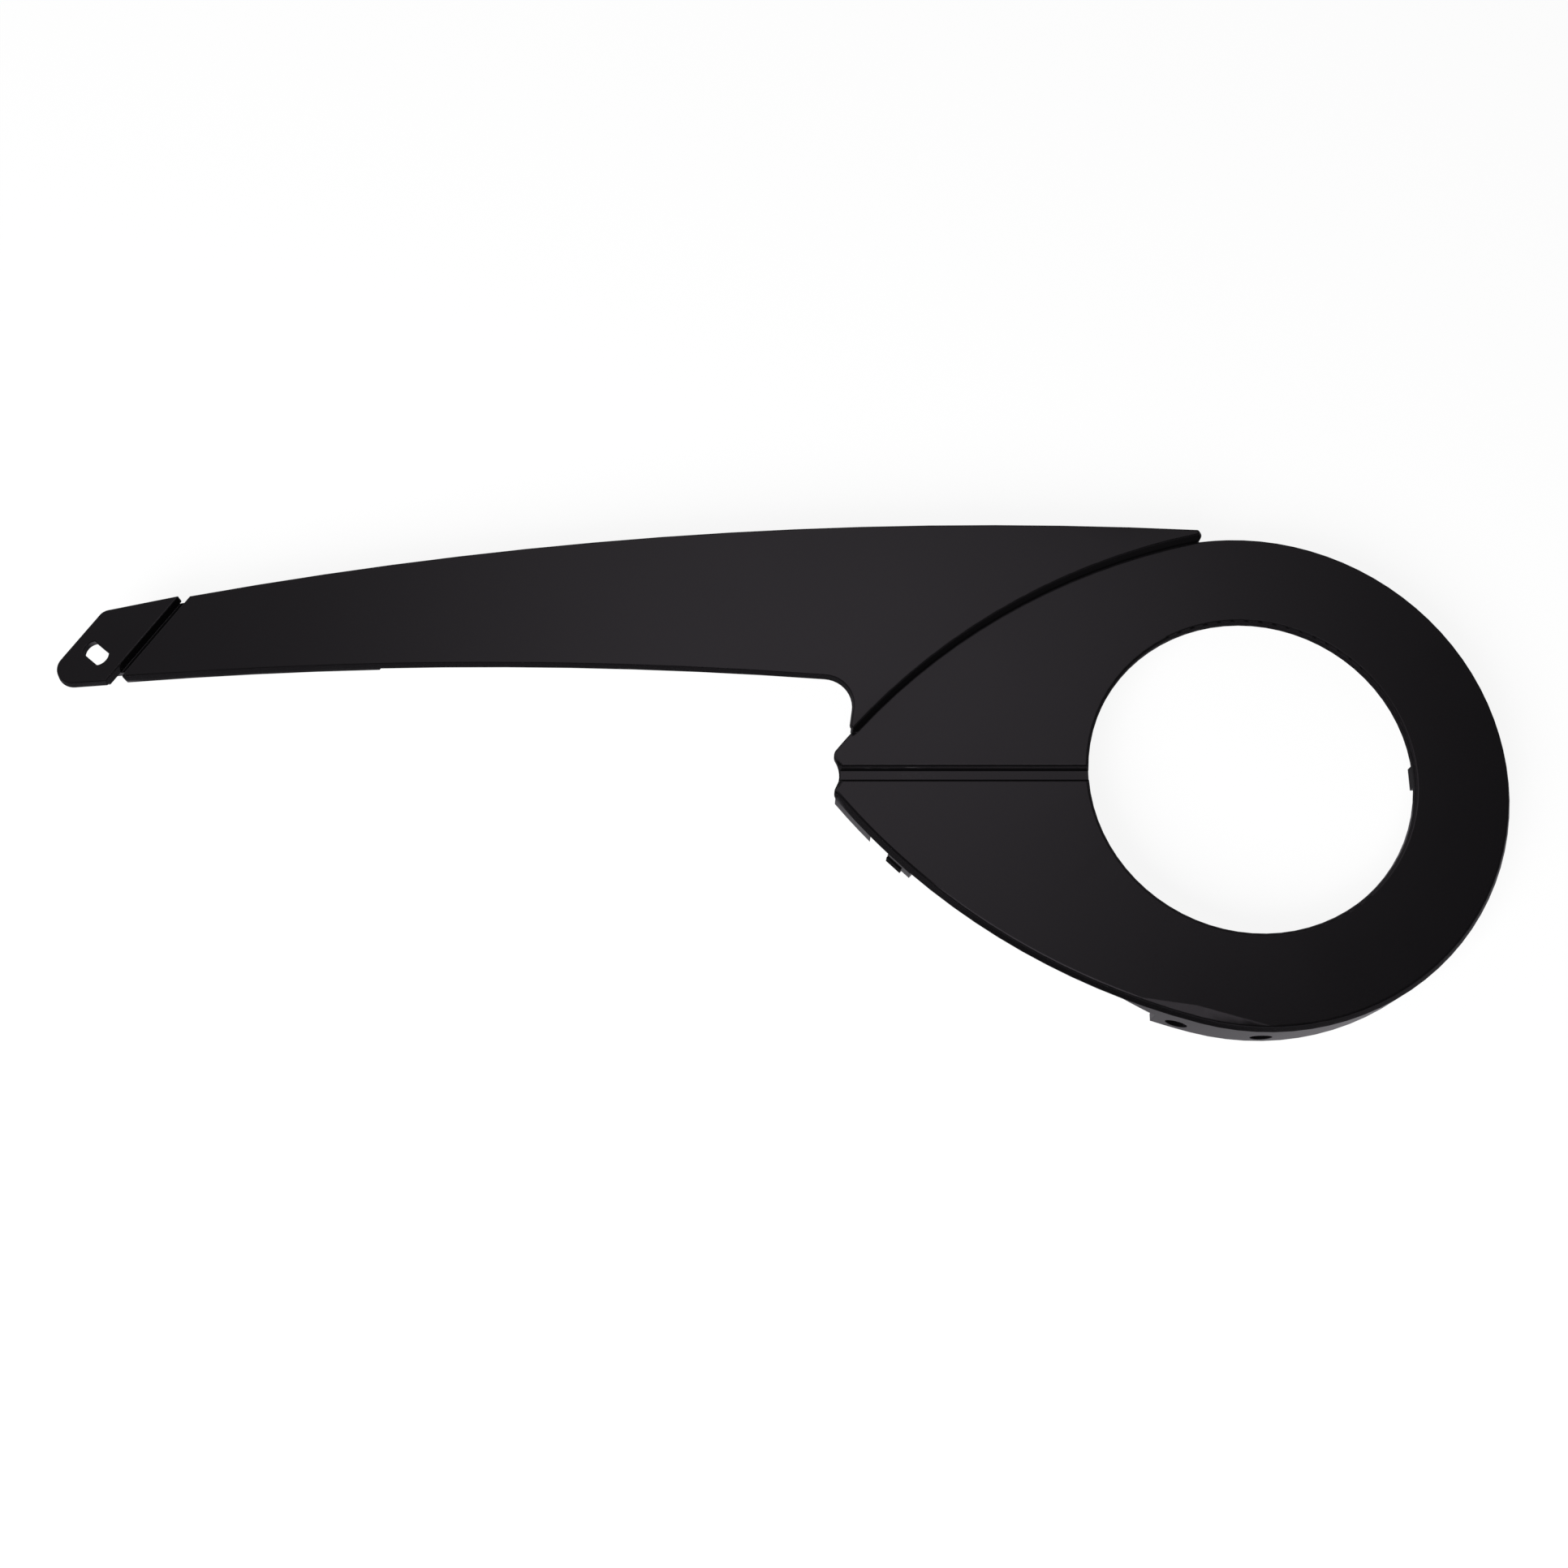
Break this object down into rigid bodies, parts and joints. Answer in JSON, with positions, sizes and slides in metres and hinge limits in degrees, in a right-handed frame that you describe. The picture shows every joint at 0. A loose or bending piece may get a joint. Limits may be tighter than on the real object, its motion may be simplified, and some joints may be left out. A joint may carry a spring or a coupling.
{
  "type": "bicycle chain guard",
  "caption": "Moulded plastic chain guard with a teardrop shield, a round crank opening, a raised arm over the upper chain run and a fixing tab with a flat-sided hole.",
  "frame": {"origin": "crank axis where it meets the back face of the shield's plate", "axes": "+X from the rear tab towards the front of the shield, +Y up as mounted on the bicycle, +Z out of the visible face, away from the frame"},
  "size_m": [0.5358, 0.1937, 0.0256],
  "materials": {
    "black_plastic": "black satin moulded polypropylene, smooth with a very fine grain"
  },
  "bodies": {
    "root": {"chain_guard": "black_plastic"}
  },
  "joints": []
}
